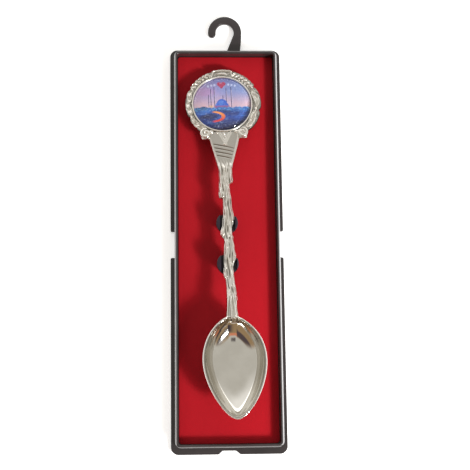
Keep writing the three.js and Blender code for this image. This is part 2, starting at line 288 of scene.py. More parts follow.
class Material:
    """A Principled material with short ways to add patterns in object space, in millimetres."""

    def __init__(self, name, **sockets):
        self.material = bpy.data.materials.new(name)
        self.material.use_nodes = True
        self.tree = self.material.node_tree
        self.shader = self.tree.nodes["Principled BSDF"]
        for key, value in sockets.items():
            self.shader.inputs[key.replace("_", " ")].default_value = value
        coords = self.tree.nodes.new("ShaderNodeTexCoord")
        scale = self.tree.nodes.new("ShaderNodeVectorMath")
        scale.operation = "SCALE"
        scale.inputs["Scale"].default_value = 1 / MM
        self.tree.links.new(coords.outputs["Object"], scale.inputs[0])
        self.position = scale.outputs[0]
        split = self.tree.nodes.new("ShaderNodeSeparateXYZ")
        self.tree.links.new(self.position, split.inputs[0])
        self.x, self.y, self.z = (Field(self.tree, output) for output in split.outputs)

    def noise(self, scale, detail=3.0, stretch=(1, 1, 1), roughness=0.55):
        """Noise with about `scale` features per millimetre."""
        stretched = self.tree.nodes.new("ShaderNodeVectorMath")
        stretched.operation = "MULTIPLY"
        stretched.inputs[1].default_value = stretch
        self.tree.links.new(self.position, stretched.inputs[0])
        node = self.tree.nodes.new("ShaderNodeTexNoise")
        node.inputs["Scale"].default_value = scale
        node.inputs["Detail"].default_value = detail
        node.inputs["Roughness"].default_value = roughness
        self.tree.links.new(stretched.outputs[0], node.inputs["Vector"])
        return Field(self.tree, node.outputs["Fac"])

    def attribute(self, name):
        node = self.tree.nodes.new("ShaderNodeAttribute")
        node.attribute_name = name
        return Field(self.tree, node.outputs["Fac"])

    def mix(self, amount, first, second):
        return mix_colours(self.tree, amount, first, second)

    def colour(self, socket):
        self.tree.links.new(socket, self.shader.inputs["Base Color"])

    def drive(self, name, field):
        self.tree.links.new(field.socket, self.shader.inputs[name])

    def bump(self, height, distance, strength=1.0):
        """Height field in millimetres times distance."""
        node = self.tree.nodes.new("ShaderNodeBump")
        node.inputs["Strength"].default_value = strength
        node.inputs["Distance"].default_value = distance * MM
        self.tree.links.new(height.socket, node.inputs["Height"])
        self.tree.links.new(node.outputs[0], self.shader.inputs["Normal"])


def srgb(red, green, blue):
    """Linear colour of an 8-bit display colour."""
    def linear(value):
        value /= 255
        return value / 12.92 if value <= 0.04045 else ((value + 0.055) / 1.055) ** 2.4
    return linear(red), linear(green), linear(blue)


# ---- materials

def tray_plastic():
    look = Material("tray_plastic", Roughness=0.24, IOR=1.52)
    mottle = look.noise(0.12, 4)
    black = look.mix(mottle.ramp(0.3, 0.7), (0.020, 0.016, 0.017), (0.028, 0.023, 0.024))
    # The rim wall's outer top edge is painted pale grey: a painted highlight.
    look.colour(look.mix(look.attribute("rim_highlight_paint"), black, (0.34, 0.335, 0.345)))
    grain = look.noise(5.0, 2)
    scuffs = look.noise(0.5, 5, (1, 0.15, 1))
    look.drive("Roughness", scuffs.ramp(0.35, 0.75) * 0.10 + 0.18)
    look.bump(grain, 0.02, 0.5)
    return look.material


def clip_plastic():
    look = Material("clip_plastic", Roughness=0.4, IOR=1.5, Specular_IOR_Level=0.3)
    mottle = look.noise(0.6, 3)
    look.colour(look.mix(mottle, (0.015, 0.010, 0.016), (0.024, 0.018, 0.027)))
    look.drive("Roughness", look.noise(1.5, 3).ramp(0.3, 0.8) * 0.15 + 0.32)
    look.bump(look.noise(4.0, 2), 0.03, 0.5)
    return look.material


def red_flock():
    look = Material("red_flock", Roughness=0.92, Sheen_Weight=0.25, Sheen_Roughness=0.45,
                    Sheen_Tint=(0.9, 0.25, 0.28, 1), Specular_IOR_Level=0.25)
    nap = look.noise(0.05, 4, (1, 0.4, 1))
    fibres = look.noise(9.0, 3)
    base = look.mix(nap.ramp(0.3, 0.7), (0.325, 0.0030, 0.0085), (0.385, 0.0040, 0.0105))
    look.colour(look.mix(fibres.ramp(0.35, 0.62), (0.265, 0.0026, 0.0075), base))
    look.bump(fibres, 0.10, 0.6)
    return look.material


def polished_metal():
    look = Material("polished_metal", Metallic=1.0, Roughness=0.08)
    bright = look.mix(look.noise(0.15, 3).ramp(0.3, 0.7), (0.70, 0.675, 0.62), (0.76, 0.735, 0.68))
    # Painted light in the bowl: a pale painted highlight on the rim's rounded edge, and a dark painted line
    # of shade in the crease inside the rim.
    shine = look.attribute("shine")
    bright = look.mix(shine.ramp(0.2, 0.6), bright, (0.95, 0.93, 0.90))
    look.colour(look.mix(shine.ramp(-0.2, -0.9), bright, (0.24, 0.225, 0.205)))
    wipes = look.noise(1.2, 4, (1, 0.12, 1))
    look.drive("Roughness", wipes.ramp(0.35, 0.8) * 0.07 + 0.06)
    return look.material


def cast_metal():
    """Plated casting, with painted shade: darker in the hollows of its relief and brighter on its high
    ground.
    """
    look = Material("cast_metal", Metallic=1.0, Roughness=0.25)
    relief = look.attribute("relief")
    grain = look.noise(3.0, 3)
    low = look.mix(grain, (0.10, 0.09, 0.075), (0.22, 0.20, 0.165))
    high = look.mix(grain, (0.66, 0.63, 0.575), (0.81, 0.78, 0.725))
    # Painted shade in the hollows, and a painted highlight on the high ground and rounded edges.
    look.colour(look.mix(relief.ramp(0.05, 0.62), low, high))
    polish = look.attribute("polish")
    look.drive("Roughness", (polish * -0.16 + 0.29) + grain * 0.05)
    look.bump(look.noise(2.2, 4), 0.05, 0.5)
    return look.material


def clear_resin():
    """Clear dome that lets lamp light through to the picture under it."""
    look = Material("clear_resin", Roughness=0.02, IOR=1.5, Transmission_Weight=1.0)
    look.shader.inputs["Base Color"].default_value = (0.985, 0.99, 1.0, 1)
    tree = look.tree
    path = tree.nodes.new("ShaderNodeLightPath")
    clear = tree.nodes.new("ShaderNodeBsdfTransparent")
    mix = tree.nodes.new("ShaderNodeMixShader")
    tree.links.new(path.outputs["Is Shadow Ray"], mix.inputs[0])
    tree.links.new(look.shader.outputs[0], mix.inputs[1])
    tree.links.new(clear.outputs[0], mix.inputs[2])
    tree.links.new(mix.outputs[0], tree.nodes["Material Output"].inputs["Surface"])
    return look.material


def picture_ink():
    """Printed view of a domed hall and slim towers by the water at dusk, under a red heart."""
    look = Material("picture_ink", Roughness=0.45)
    x, y = look.x, look.y
    grain = look.noise(1.2, 4)
    soft = look.noise(0.25, 3)

    def ink(red, green, blue):
        return tuple(0.74 * value for value in srgb(red, green, blue))

    def blob(cx, cy, rx, ry, edge=0.15):
        dx = (x - cx) / rx
        dy = (y - cy) / ry
        return (dx * dx + dy * dy).ramp(1 + edge, 1 - edge)

    def strip(cx, half, low, high, edge=0.07):
        across = (x - cx).abs().ramp(half + edge, half - edge)
        along = (y - low).ramp(-edge, edge) * (y - high).ramp(edge, -edge)
        return across * along

    # Sky: lilac above, peach at the horizon, bluer to the right
    lilac = look.mix((x + soft * 8).ramp(-6, 9), ink(164, 146, 198), ink(124, 142, 194))
    peach = look.mix(soft, ink(214, 170, 178), ink(206, 180, 190))
    picture = look.mix((y + soft * 2).ramp(-0.6, 6.5), peach, lilac)
    picture = look.mix(blob(-5.6, 4.6, 3.2, 1.6, 0.7) * 0.45, picture, ink(196, 138, 182))
    picture = look.mix((y + grain).ramp(7.2, 9.6) * 0.6, picture, ink(96, 96, 175))

    # Slim towers with pointed tops, in two greys
    for cx, top in ((-4.6, 3.6), (-3.8, 5.9), (-2.6, 6.6), (0.35, 3.3), (1.5, 6.0), (3.2, 6.4)):
        picture = look.mix(strip(cx, 0.13, -1.3, top) * 0.95, picture, ink(50, 44, 92))
        picture = look.mix(strip(cx + 0.22, 0.10, -1.3, top - 1.1) * 0.45, picture, ink(214, 200, 210))
        picture = look.mix(strip(cx, 0.26, 0.7, 1.0) * 0.6, picture, ink(80, 70, 120))

    # Domed hall: one large dome, two shoulders and a lit base
    for cx, cy, rx, ry in ((-1.3, -0.6, 1.1, 1.2), (1.0, -0.6, 1.2, 1.1), (-0.1, 0.0, 1.75, 1.9)):
        picture = look.mix(blob(cx, cy, rx, ry), picture, ink(44, 92, 190))
        glow = blob(cx - 0.35, cy + 0.45, rx * 0.45, ry * 0.5, 0.6)
        picture = look.mix(glow * 0.5, picture, ink(92, 142, 216))
    picture = look.mix(strip(-0.1, 2.6, -1.7, -0.6, 0.2) * 0.8, picture, ink(150, 84, 120))
    picture = look.mix(strip(-3.9, 0.7, -1.6, -0.5, 0.25) * 0.6, picture, ink(226, 176, 90))

    # Trees and water
    shore = (grain - 0.5) * 1.6 + y
    picture = look.mix(shore.ramp(-1.15, -1.45), picture, ink(34, 84, 158))
    picture = look.mix(blob(-6.4, -1.7, 1.5, 0.9, 0.3), picture, ink(22, 52, 104))
    picture = look.mix(blob(-8.4, -1.8, 1.2, 0.7, 0.3), picture, ink(24, 60, 112))
    picture = look.mix(shore.ramp(-2.0, -3.6), picture, ink(26, 60, 140))
    ripples = look.noise(0.7, 4, (0.25, 1.4, 1))
    picture = look.mix(ripples.ramp(0.5, 0.72) * y.ramp(-1.4, -2.2) * 0.7, picture, ink(70, 130, 214))
    picture = look.mix(ripples.ramp(0.50, 0.36) * y.ramp(-1.8, -2.6) * 0.85, picture, ink(12, 18, 66))
    crowns = look.noise(1.6, 3, (1, 1.3, 1))
    shoreline = (y + 1.75).abs().ramp(0.85, 0.45)
    picture = look.mix(crowns.ramp(0.47, 0.60) * shoreline * 0.9, picture, ink(84, 160, 214))
    picture = look.mix((y + soft * 2).ramp(-3.4, -7.4) * 0.9, picture, ink(14, 16, 62))
    picture = look.mix(blob(-4.2, -4.6, 2.6, 1.0, 0.3) * 0.75, picture, ink(14, 20, 70))
    picture = look.mix(blob(3.6, -3.9, 2.2, 0.6, 0.5) * 0.55, picture, ink(20, 34, 96))

    # Lit road that bends round the point
    bend_x = (x + 3.3) / 3.5
    bend_y = (y + 4.7) / 1.75
    ring = ((bend_x * bend_x + bend_y * bend_y) ** 0.5 - 1).abs().ramp(0.24, 0.12)
    road = ring * (x + 3.6).ramp(-0.4, 1.2)
    lamps = look.mix(y.ramp(-6.2, -2.9), ink(206, 52, 44), ink(240, 150, 62))
    picture = look.mix(road, picture, lamps)

    # Heart: two round lobes over a point
    lobes = blob(-0.72, 7.55, 0.86, 0.72).upper(blob(0.62, 7.55, 0.86, 0.72))
    taper = ((x + 0.05).abs() * 1.12 - (y - 5.75)).ramp(0.12, -0.12) * (y - 7.55).ramp(0.1, -0.1)
    picture = look.mix(lobes.upper(taper), picture, ink(176, 34, 82))

    # Rows of plain pale dots on both sides of it
    for cx in (-4.6, -3.5, -2.4, 2.4, 3.5, 4.6):
        height = 7.45 - 0.03 * cx * cx
        picture = look.mix(blob(cx, height, 0.34, 0.42, 0.4) * 0.8, picture, ink(204, 214, 240))

    # Darker ring at the print's edge, painted shade under the frame's rim, and a fine grain all over
    picture = look.mix((x * x + y * y).ramp(86, 92) * 0.75, picture, ink(24, 22, 60))
    picture = look.mix(look.noise(2.6, 2).ramp(0.56, 0.72) * 0.30, picture, ink(20, 40, 110))
    picture = look.mix(look.noise(2.2, 2).ramp(0.44, 0.30) * 0.30, picture, ink(190, 205, 235))

    look.colour(picture)
    look.drive("Roughness", grain * 0.1 + 0.4)
    return look.material


# ---- tray

def plate_outline():
    """Counterclockwise outline of the flange, with a notch in each long side and at the foot."""
    x = PLATE_WIDTH / 2
    inner_x = x - PLATE_CORNER
    head = PLATE_HEAD - PLATE_CORNER
    foot = PLATE_FOOT + PLATE_CORNER
    wall = x - RIM_INSET_SIDE
    nick = NOTCH_ROUNDING
    half = SIDE_NOTCH / 2
    outline = arc((inner_x, head), PLATE_CORNER, 0, 90, 10)
    outline += arc((-inner_x, head), PLATE_CORNER, 90, 180, 10)
    outline += arc((nick - x, half + nick), nick, 180, 270, 4)
    outline += [(-wall, half), (-wall, -half)]
    outline += arc((nick - x, -half - nick), nick, 90, 180, 4)
    outline += arc((-inner_x, foot), PLATE_CORNER, 180, 270, 10)
    outline += foot_notch()
    outline += arc((inner_x, foot), PLATE_CORNER, 270, 360, 10)
    outline += arc((x - nick, -half - nick), nick, 0, 90, 4)
    outline += [(wall, -half), (wall, half)]
    outline += arc((x - nick, half + nick), nick, 270, 360, 4)
    return outline


def foot_notch():
    """Shallow notch with soft S-shaped ends in the lower edge, from left to right."""
    left = []
    for t in np.linspace(0, 1, 9):
        rise = t * t * (3 - 2 * t)
        left.append((-END_NOTCH / 2 + END_NOTCH_RUN * t, PLATE_FOOT + END_NOTCH_DEPTH * rise))
    return left + [(-px, py) for px, py in reversed(left)]


def hook_outline():
    root = PLATE_HEAD - 1.0
    tip = (HOOK_OUTER - HOOK_INNER) / 2
    outline = [(0.45, root), (HOOK_OUTER - 0.62, root), (HOOK_OUTER - 0.5, root + 1)]
    outline += [(HOOK_OUTER - 0.12, HOOK_CENTRE - 3)]
    outline += arc((0, HOOK_CENTRE), HOOK_OUTER, 0, 180, 40)
    outline += arc((-HOOK_INNER - tip, HOOK_TIP), tip, 180, 360, 14)
    outline += arc((0, HOOK_CENTRE), HOOK_INNER, 180, 0, 28)
    outline += arc((HOOK_INNER - 2.4, HOOK_CENTRE - 0.2), 2.4, -4, -18, 3)
    outline += [(0.95, PLATE_HEAD + 0.4)]
    return outline


def rim_profile():
    """Section of the rim wall: (distance in from its outer face, height), round in both upper edges."""
    outer, inner = 0.62, 0.38
    root = PLATE_TOP - RIM_ROOT
    profile = [(0.0, root), (0.0, PLATE_TOP + 0.1)]
    for turn in np.radians(np.linspace(0, 90, 9)):
        profile.append((outer * (1 - math.cos(turn)), RIM_TOP - outer + outer * math.sin(turn)))
    for turn in np.radians(np.linspace(90, 0, 6)):
        profile.append((RIM_WALL - inner * (1 - math.cos(turn)), RIM_TOP - inner + inner * math.sin(turn)))
    profile += [(RIM_WALL, root)]
    return profile


def painted_rim_highlight(point):
    """1 on the outer top edge of the rim wall, most on the long sides: a painted highlight where that rounded
    edge catches the light.
    """
    from_side = PLATE_WIDTH / 2 - RIM_INSET_SIDE - abs(point.x)
    from_end = RIM_LENGTH / 2 - abs(point.y)
    if point.z < RIM_TOP - 0.45 or min(from_side, from_end) < -0.05:
        return 0.0
    return max(smooth(from_side, 0.55, 0.4), smooth(from_end, 0.5, 0.3) * 0.25)


def make_tray(material):
    tray = make_piece("tray_shell", *rounded_slab(plate_outline(), 0, PLATE_TOP, 0.18), material)
    hook = make_piece("hook_tool", *rounded_slab(hook_outline(), 0, HOOK_THICKNESS, 0.45, 5), material)
    join_solid(tray, hook)
    wall = rounded_rect(PLATE_WIDTH - 2 * RIM_INSET_SIDE, RIM_LENGTH, RIM_CORNER)
    rim = make_piece("rim_tool", *sweep_ring(wall, rim_profile()), material)
    join_solid(tray, rim)
    store(tray, "rim_highlight_paint", [painted_rim_highlight(v.co / MM) for v in tray.data.vertices])
    return place_on(tray, "case", "tray_plastic", "tray")


def make_card(material):
    width = CARD_HIGH[0] - CARD_LOW[0]
    length = CARD_HIGH[1] - CARD_LOW[1]
    outline = rounded_rect(width, length, CARD_CORNER)
    card = make_piece("flocked_card", *rounded_slab(outline, PLATE_TOP, CARD_TOP, CARD_ROUNDING), material)
    for node in ("clip_upper", "clip_lower"):
        low, high = node_box(node)
        centre = (low + high) / 2
        step = 360 / HOLE_SIDES
        circle = arc(centre[:2], CLIP_FOOT + CLIP_HOLE_GAP, 0, 360 - step, HOLE_SIDES - 1)
        sections = [np.column_stack([circle, np.full(HOLE_SIDES, z)]) for z in (PLATE_TOP - 1, CARD_TOP + 1)]
        join_solid(card, make_piece("hole_tool", *loft(sections), material), "DIFFERENCE")
    return place_on(card, "case", "red_flock", "insert_card")


def make_clip(node, slot_left, slot_right, saddle, material):
    """Round post whose slot leaves two curved jaws with softened lips."""
    low, high = node_box(node)
    centre = (low + high) / 2
    radius = (high[0] - low[0]) / 2
    top = high[2]
    profile = [(CLIP_FOOT, low[2]), (CLIP_FOOT, low[2] + 1.6), (CLIP_FOOT + 0.25, saddle - 2.6)]
    profile += [(radius - 0.25, saddle - 0.6), (radius, saddle + 0.3), (radius, top - CLIP_LIP)]
    for turn in np.radians((30, 60, 90)):
        profile.append((radius - CLIP_LIP * (1 - math.cos(turn)), top - CLIP_LIP + CLIP_LIP * math.sin(turn)))
    angles = np.linspace(0, TAU, 64, endpoint=False)
    sections = []
    for r, z in profile:
        ring = [(centre[0] + r * math.cos(a), centre[1] + r * math.sin(a), z) for a in angles]
        sections.append(np.array(ring))
    post = make_piece(node + "_post", *loft(sections), material)
    middle = (slot_left + slot_right) / 2
    groove = rounded_rect(slot_right - slot_left, 4 * radius, 0.3, 3)
    groove = [(px + middle, py + centre[1]) for px, py in groove]
    tool = make_piece("groove_tool", *rounded_slab(groove, saddle, top + 2, 0.25), material)
    join_solid(post, tool, "DIFFERENCE")
    soften = post.modifiers.new("soften", "BEVEL")
    soften.width = 0.14 * MM
    soften.segments = 3
    soften.limit_method = "ANGLE"
    soften.angle_limit = math.radians(35)
    soften.harden_normals = True
    return place_on(post, "case", "clip_plastic", node)


# ---- spoon shank and bowl

# Outline of the handle from neck to shoulder: height along it, left edge, right edge
HANDLE = np.array([
    (37.6, -5.6, 5.85), (35.9, -5.1, 5.4), (33.0, -4.4, 4.65), (29.0, -3.4, 3.5), (26.5, -2.75, 2.75),
    (24.5, -2.3, 2.35), (22.5, -2.25, 2.35), (20.9, -2.3, 2.5), (19.9, -2.4, 2.3), (19.3, -2.4, 1.3),
    (16.4, -2.65, 1.25), (15.1, -2.65, 1.5), (14.6, -2.3, 1.55), (14.2, -1.35, 1.6), (10.5, -1.4, 1.75),
    (8.9, -1.5, 2.15), (7.3, -1.8, 2.35), (5.8, -1.9, 2.0), (4.6, -2.1, 1.4), (3.4, -2.6, 1.35),
    (2.2, -2.65, 1.4), (1.2, -2.25, 1.6), (0.3, -1.5, 1.7), (-2.5, -1.6, 1.95), (-4.8, -1.8, 2.25),
    (-6.6, -2.0, 2.25), (-7.9, -2.05, 1.6), (-8.7, -2.1, 1.35), (-11.2, -2.3, 1.3), (-12.3, -2.2, 1.35),
    (-13.2, -1.6, 1.45), (-16.4, -1.4, 1.75), (-20.2, -1.6, 2.1), (-22.8, -1.7, 1.8), (-25.2, -1.95, 2.1),
])[::-1]
# Height of its upper face, and its thickness, along the same line
TOP_HEIGHT = np.array([
    (-60, 12.6), (-30, 12.05), (-26, 11.8), (-20, 11.2), (-8, 10.3), (7, 9.6), (25, 8.9), (38, 8.2),
])
THICKNESS = np.array([(-26, 2.4), (-20, 2.3), (14, 2.4), (26, 2.1), (38, 1.9)])
BOWL_SHOULDER = -25.5
BOWL_TIP = -59.0
BOWL_SKIN_START = -25.8
BOWL_OUTLINE = (0.66, 0.90)
BOWL_TIP_LEAN = 0.2
NECK_HALF_WIDTH = 1.9
TIP_FULLNESS = 13.0
BOWL_HALF_WIDTH = 10.4
BOWL_DEPTH = 6.3
BOWL_CENTRE = (0.27, -42.5)
BOWL_CAVITY = 5.5
BOWL_FLATNESS = 3.8
BOWL_WALL = 0.8
RIM_BAND = 0.55
CREASE_SHIFT = 0.12
CREASE_WIDTH = 0.17
EDGE = 0.95
EDGE_ROUND = 0.32
EDGE_DROP = 0.5

# Strands of the twisted branch: the centre line as (y, x) pairs, its half width and its height
STRANDS = (
    (((27.0, -2.1), (22.0, -1.55), (17.5, -1.75), (14.4, -1.75)), 0.62, 0.42),
    (((26.5, -0.9), (23.0, -0.25), (19.5, -0.35), (16.5, 0.25),
      (13.0, -0.15), (8.0, -0.7), (4.0, -1.5), (1.4, -1.9)), 0.50, 0.40),
    (((27.0, 0.6), (24.0, 0.35), (21.0, 0.45), (17.5, -0.65), (14.6, -1.0)), 0.40, 0.30),
    (((27.0, 2.0), (23.5, 1.55), (21.0, 1.75), (19.3, 1.7)), 0.55, 0.45),
    (((20.5, 0.6), (16.0, 0.55), (12.0, 0.85), (9.0, 1.3), (6.4, 1.6)), 0.48, 0.42),
    (((11.5, 0.1), (7.0, 0.35), (2.5, 0.3), (-2.0, -0.5), (-7.5, -1.25), (-12.4, -1.65)), 0.50, 0.38),
    (((4.0, 0.95), (0.0, 0.95), (-4.0, 1.45), (-7.3, 1.55)), 0.50, 0.42),
    (((0.0, -1.05), (-5.0, -0.45), (-10.0, 0.35), (-15.0, 0.1), (-20.0, -0.7), (-24.0, -1.1)), 0.45, 0.34),
    (((-8.0, 0.75), (-12.0, 0.85), (-17.0, 1.0), (-21.5, 1.55)), 0.46, 0.36),
)
# Flutes that fan out into the bowl: start x and end x, from the end of the branch to the shoulder
FLUTES = ((-1.15, -1.9), (-0.15, 0.15), (0.75, 1.1), (1.35, 2.2))


def smooth(value, start, end):
    t = np.clip((value - start) / (end - start), 0, 1)
    return t * t * (3 - 2 * t)


def table(rows, y, column=1):
    return np.interp(y, rows[:, 0], rows[:, column])


def wave_noise(x, y, seed, octaves=4):
    """Smooth repeatable noise about 0, from sines at turned angles."""
    draw = np.random.default_rng(seed)
    total = np.zeros(np.broadcast(x, y).shape)
    weight = 1.0
    for octave in range(octaves):
        for _ in range(3):
            angle, phase = draw.uniform(0, TAU, 2)
            scale = 2.0 ** octave
            total += weight * np.sin(scale * (x * math.cos(angle) + y * math.sin(angle)) + phase)
        weight *= 0.55
    return total / 3


def ridge(distance, half_width):
    return np.sqrt(np.clip(1 - (distance / half_width) ** 2, 0, None))


def branch_relief(x, y):
    """Raised strands of the handle over its lower ground, in millimetres."""
    height = np.zeros_like(x)
    for route, half_width, rise in STRANDS:
        route = np.array(route)[::-1]
        centre = np.interp(y, route[:, 0], route[:, 1])
        low, high = route[0, 0], route[-1, 0]
        ends = smooth(y, low - 0.25, low + 0.35) * smooth(y, high + 0.4, high - 1.2)
        width = half_width * (0.8 + 0.2 * np.sin(1.7 * y + route[0, 1] * 5))
        height = np.maximum(height, 1.15 * rise * ridge(x - centre, width) * ends)
    lean = x + 0.09 * y + 0.25 * np.sin(0.7 * y)
    fibres = 0.5 + 0.5 * np.sin(7.2 * lean + 1.3 * np.sin(0.45 * y) + 1.1 * wave_noise(1.3 * x, 0.35 * y, 5))
    bark = 0.26 * np.sqrt(fibres) - 0.12 + 0.05 * wave_noise(6 * x, 1.5 * y, 3)
    return (height + bark) * smooth(y, -22.0, -17) * smooth(y, 28.6, 23.5)


def flute_relief(x, y):
    height = np.zeros_like(x)
    for start, end in FLUTES:
        centre = start + (end - start) * smooth(y, -19, -27)
        height = np.maximum(height, 0.62 * ridge(x - centre, 0.42 + 0.02 * (-19 - y)))
    return height * smooth(y, -17.0, -21.0) * smooth(y, -28.0, -26.4)


def neck_relief(x, y, half):
    """Flat neck with raised borders, four slanted grooves and a V-shaped crest under the frame."""
    inside = smooth(y, 25.4, 26.8)
    border = 0.22 * smooth(np.abs(x), half - 0.75, half - 0.45)
    grooves = np.zeros_like(x)
    slanted = y + 0.235 * x
    for centre in (32.55, 31.3, 30.05, 28.75):
        grooves = np.maximum(grooves, np.exp(-((slanted - centre) / 0.15) ** 2))
    grooves *= smooth(half - np.abs(x), 0.7, 1.0)
    crest = np.zeros_like(x)
    for side in (-1, 1):
        arm = np.abs((x - 0.3) * side - 0.52 * (y - 33.1))
        crest = np.maximum(crest, 0.22 * ridge(arm, 0.34) - 0.12 * np.exp(-((arm - 0.42) / 0.1) ** 2))
        inner = np.abs((x - 0.3) * side - 0.5 * (y - 34.3))
        crest = np.maximum(crest, 0.2 * ridge(inner, 0.22))
    crest = np.maximum(crest, 0.2 * ridge(np.hypot(x - 0.3, y - 36.3), 0.5))
    crest *= smooth(y, 32.9, 33.3)
    return inside * (border + crest - 0.20 * grooves)


def egg(t, start_power, end_power):
    """0 at both ends and 1 at its widest."""
    peak = start_power / (start_power + end_power)
    return (t / peak) ** start_power * ((1 - t) / (1 - peak)) ** end_power


def handle_relief(x, y, half):
    return branch_relief(x, y) + flute_relief(x, y) + neck_relief(x, y, half)


def bowl_half_width(t):
    """Egg outline, met by the neck at its start and blunted at its tip."""
    body = BOWL_HALF_WIDTH * egg(t, *BOWL_OUTLINE)
    neck = NECK_HALF_WIDTH * (1 - t) ** 4
    tip = TIP_FULLNESS * t ** 2.5 * np.sqrt(1 - t)
    return np.sqrt(body ** 2 + neck ** 2 + tip ** 2)


def bowl_shift(t):
    """The bowl's centre line leans a little to the right towards its tip."""
    return BOWL_CENTRE[0] * np.minimum(1, 4 * t) + BOWL_TIP_LEAN * smooth(t, 0.4, 0.9)


def bowl_reach():
    """Distance from the bowl's centre to its outline, tabulated by angle."""
    t = np.linspace(0.0, 1.0, 400)
    y = BOWL_SHOULDER + (BOWL_TIP - BOWL_SHOULDER) * t
    half = bowl_half_width(t)
    shift = bowl_shift(t) - BOWL_CENTRE[0]
    x = np.concatenate([shift + half, (shift - half)[::-1]])
    y = np.concatenate([y, y[::-1]]) - BOWL_CENTRE[1]
    angle = np.arctan2(y, x)
    order = np.argsort(angle)
    return angle[order], np.hypot(x, y)[order]


REACH_ANGLES, REACH = bowl_reach()


def bowl_polar(x, y):
    """Distance from the bowl's centre, and how far its outline reaches in that direction."""
    dx, dy = x - BOWL_CENTRE[0], y - BOWL_CENTRE[1]
    reach = np.interp(np.arctan2(dy, dx), REACH_ANGLES, REACH, period=TAU)
    return np.hypot(dx, dy), reach


def rim_line(x, y):
    """1 in the fine crease between the bowl's rim and its inner wall, where a dark line of painted shade
    goes.
    """
    distance, reach = bowl_polar(x, y)
    return np.exp(-((reach - distance - RIM_BAND - CREASE_SHIFT) / CREASE_WIDTH) ** 2)


def bowl_cavity(x, y):
    """Depth of the bowl's inside under its rim: a flat floor and walls that follow the outline."""
    distance, reach = bowl_polar(x, y)
    share = np.clip(distance / (reach - RIM_BAND), 0, 1)
    lip = smooth(share, 1.0, 0.95) * smooth(y, BOWL_SHOULDER - 0.2, BOWL_SHOULDER - 1.8)
    return BOWL_CAVITY * (1 - share ** BOWL_FLATNESS) ** 0.92 * lip


def section(y, left, right, top, depth, crown, across, under):
    """One ring, over the top from right to left at `across` and back below at `under`, with its painted
    shine.

    Both run between -1 and 1 over the ring's width.
    """
    centre, half = (left + right) / 2, (right - left) / 2
    x = centre + across * half
    low_x = centre + under * half
    level = np.full_like(x, y)
    inside, below = np.zeros_like(x), np.zeros_like(low_x)
    if y < BOWL_SHOULDER:
        inside, below = bowl_cavity(x, level), bowl_cavity(low_x, np.full_like(low_x, y))
    rounding = np.clip((np.abs(across) - 1) * half / EDGE_ROUND + 1, 0, 1)
    edge = EDGE_DROP * (1 - np.sqrt(1 - 0.96 * rounding ** 2))
    relief = np.zeros_like(x)
    if y > -29:
        relief = handle_relief(x, level, half) * (1 - np.abs(across) ** 8)
    z = top - crown * across ** 2 - inside - edge + relief
    upper = np.column_stack([x, level, z])
    bulge = (1 - under ** 2) ** 0.6
    lower_z = top - EDGE - crown * np.abs(under) ** 8 - (depth - EDGE) * bulge
    lower_z = np.minimum(lower_z, top - below - BOWL_WALL)
    lower = np.column_stack([low_x, np.full_like(under, y), lower_z])
    # Painted light: rounded edges are painted brighter as a highlight, and in the bowl the rim crease is
    # painted dark as shade.
    shine = relief + 0.7 * rounding
    if y < BOWL_SHOULDER:
        shine -= rim_line(x, level)
    return np.concatenate([upper, lower]), np.concatenate([shine, np.full(len(under), 0.3)])


def shank_sections():
    across = np.sin(np.linspace(math.pi / 2, -math.pi / 2, 81))
    under = np.sin(np.linspace(-math.pi / 2, math.pi / 2, 29))[1:-1]
    rings = []
    shine = []
    stations = []
    for y in np.arange(37.6, BOWL_SHOULDER + 0.02, -0.1):
        stations.append((y, table(HANDLE, y, 1), table(HANDLE, y, 2), table(THICKNESS, y), 0.5))
    for i in range(1, 170):
        t = 0.5 - 0.5 * math.cos(math.pi * (i / 170) ** 0.9)
        y = BOWL_SHOULDER + (BOWL_TIP - BOWL_SHOULDER) * t
        half = bowl_half_width(t)
        hollow = BOWL_DEPTH * egg(t, 0.7, 0.6)
        depth = max(EDGE + 0.1, math.hypot(hollow, table(THICKNESS, y) * (1 - t) ** 3))
        shift = float(bowl_shift(t))
        stations.append((y, shift - half, shift + half, depth, 0.5 * (1 - t) ** 30))
    for y, left, right, depth, crown in stations:
        ring, lit = section(y, left, right, table(TOP_HEIGHT, y), depth, crown, across, under)
        rings.append(ring)
        shine.append(lit)
    return rings, np.concatenate(shine)


def store(piece, name, values):
    layer = piece.data.attributes.new(name, "FLOAT", "POINT")
    layer.data.foreach_set("value", np.asarray(values, np.float32))


def make_shank(cast, polished):
    rings, shine = shank_sections()
    points, faces = loft(rings)
    piece = make_piece("spoon_handle_and_bowl", points, faces, cast, SPOON_TURN, 60)
    piece.data.materials.append(polished)
    y = points[:, 1]
    bowl = y < BOWL_SKIN_START
    centres = np.array([y[list(face)].mean() for face in faces])
    piece.data.polygons.foreach_set("material_index", (centres < BOWL_SKIN_START).astype(np.int32))
    # Painted light on the handle: hollows painted darker as shade, high ground and rounded edges painted
    # brighter; the bowl gets the full bright value.
    store(piece, "relief", np.where(bowl, 1.0, np.clip(0.40 + shine * 1.7, 0, 1)))
    store(piece, "shine", np.where(bowl, shine, 0.0))
    store(piece, "polish", smooth(y, -17.5, -20.5))
    return place_on(piece, "spoon", "spoon_metal", "spoon")


# ---- medallion frame

RECESS_RADIUS = 9.86
RECESS_FLOOR = -0.95
BAND_START = 10.5
ARCH_ANGLE = 88.3
FRAME_BACK = -1.9


def bump_row(start, end, count):
    """Middle angles of a row of equal bumps, in degrees."""
    step = (end - start) / count
    return [start + step * (i + 0.5) for i in range(count)]


def turn_gap(angle, centre):
    """Signed angle from a centre, in degrees, between -180 and 180."""
    return (angle - centre + 180) % 360 - 180


